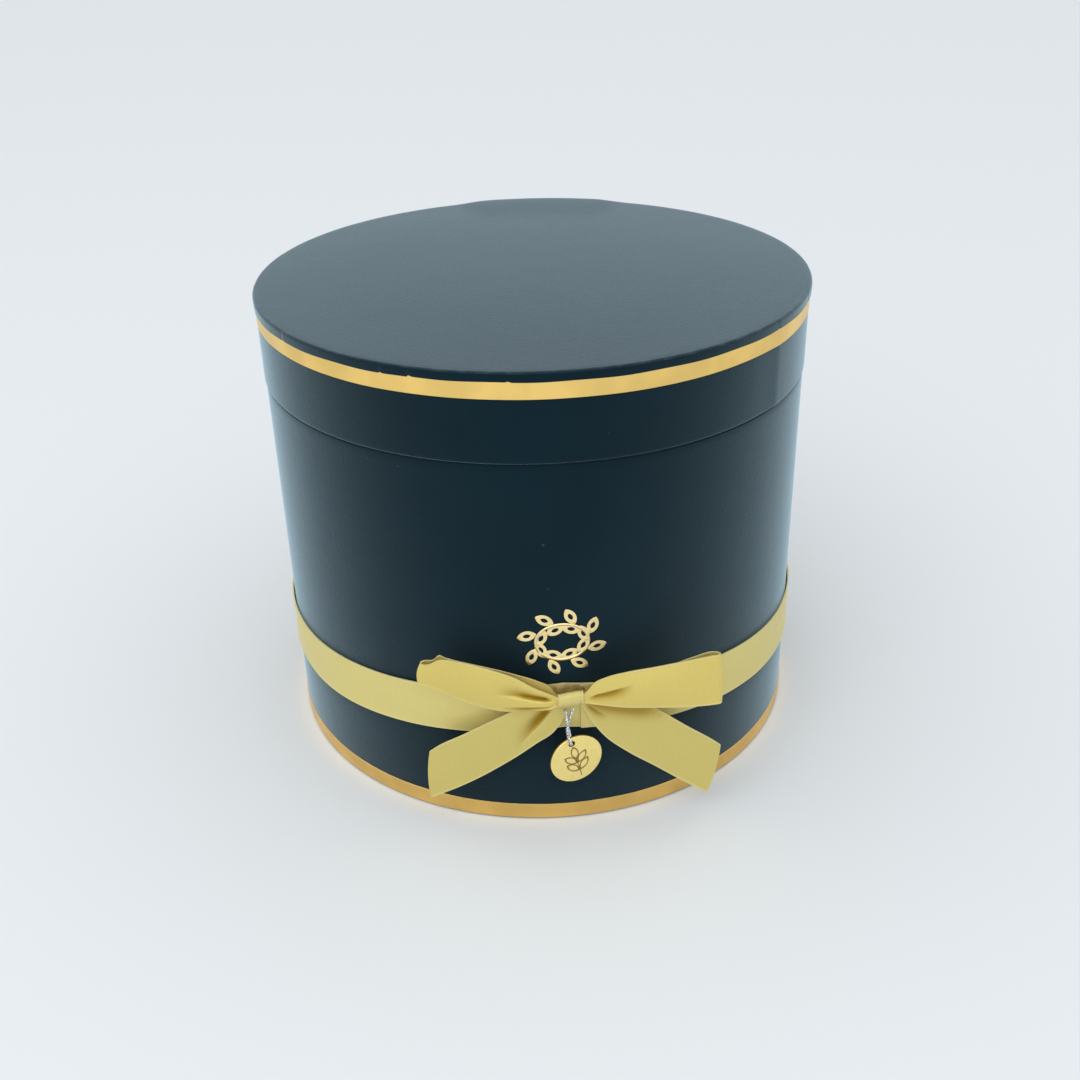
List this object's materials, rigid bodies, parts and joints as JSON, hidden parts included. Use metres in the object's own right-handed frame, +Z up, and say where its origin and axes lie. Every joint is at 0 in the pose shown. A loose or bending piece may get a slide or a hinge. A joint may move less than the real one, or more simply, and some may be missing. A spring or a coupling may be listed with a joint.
{
  "type": "flower box",
  "caption": "Round lidded box for cut flowers: paper-wrapped board tube with a neck, lift-off lid, foil stripes, satin ribbon band with a bow, and a hung tag.",
  "frame": {"origin": "centre of the base, on the table", "axes": "+Z up the box, the front with the bow towards -Y, +X to the right as seen from the front"},
  "size_m": [0.22, 0.229, 0.1892],
  "materials": {
    "greyboard": "raw greyboard, hidden under paper",
    "black_paper": "matte blue-black covering paper with a soft sheen",
    "gold_foil": "satin gold hot-stamped foil",
    "satin_ribbon": "old-gold satin with woven selvedges",
    "clear_glue": "clear hot-melt glue",
    "silver_cord": "twisted silver lurex thread",
    "gold_tag": "satin gold-plated metal"
  },
  "bodies": {
    "box": {"body_tube": "greyboard", "base_board": "greyboard", "body_wrap": "black_paper", "base_paper": "black_paper", "base_stripe": "gold_foil", "neck_sleeve": "greyboard", "neck_wrap": "black_paper", "base_lining": "black_paper", "front_motif": "gold_foil", "ribbon_band": "satin_ribbon", "bow_glue": "clear_glue", "bow_loops": "satin_ribbon", "bow_tails": "satin_ribbon", "bow_knot": "satin_ribbon"},
    "lid": {"lid_rim": "greyboard", "lid_board": "greyboard", "lid_rim_wrap": "black_paper", "lid_top_wrap": "black_paper", "lid_stripe": "gold_foil", "lid_lining": "black_paper"},
    "charm": {"charm_cord": "silver_cord"},
    "tag": {"charm_tag": "gold_tag"}
  },
  "joints": [
    {"name": "lid_lift", "type": "slide", "parent": "box", "child": "lid", "axis": [0, 0, 1], "range_m": [0, 0.12]},
    {"name": "charm_swing", "type": "hinge", "parent": "box", "child": "charm", "pos_m": [0.0022, -0.11512, 0.0574], "axis": [-1, 0, 0], "range_deg": [0, 80]},
    {"name": "tag_turn", "type": "hinge", "parent": "charm", "child": "tag", "pos_m": [0.0022, -0.11565, 0.04155], "axis": [0, 0, 1], "range_deg": [-50, 0]}
  ]
}
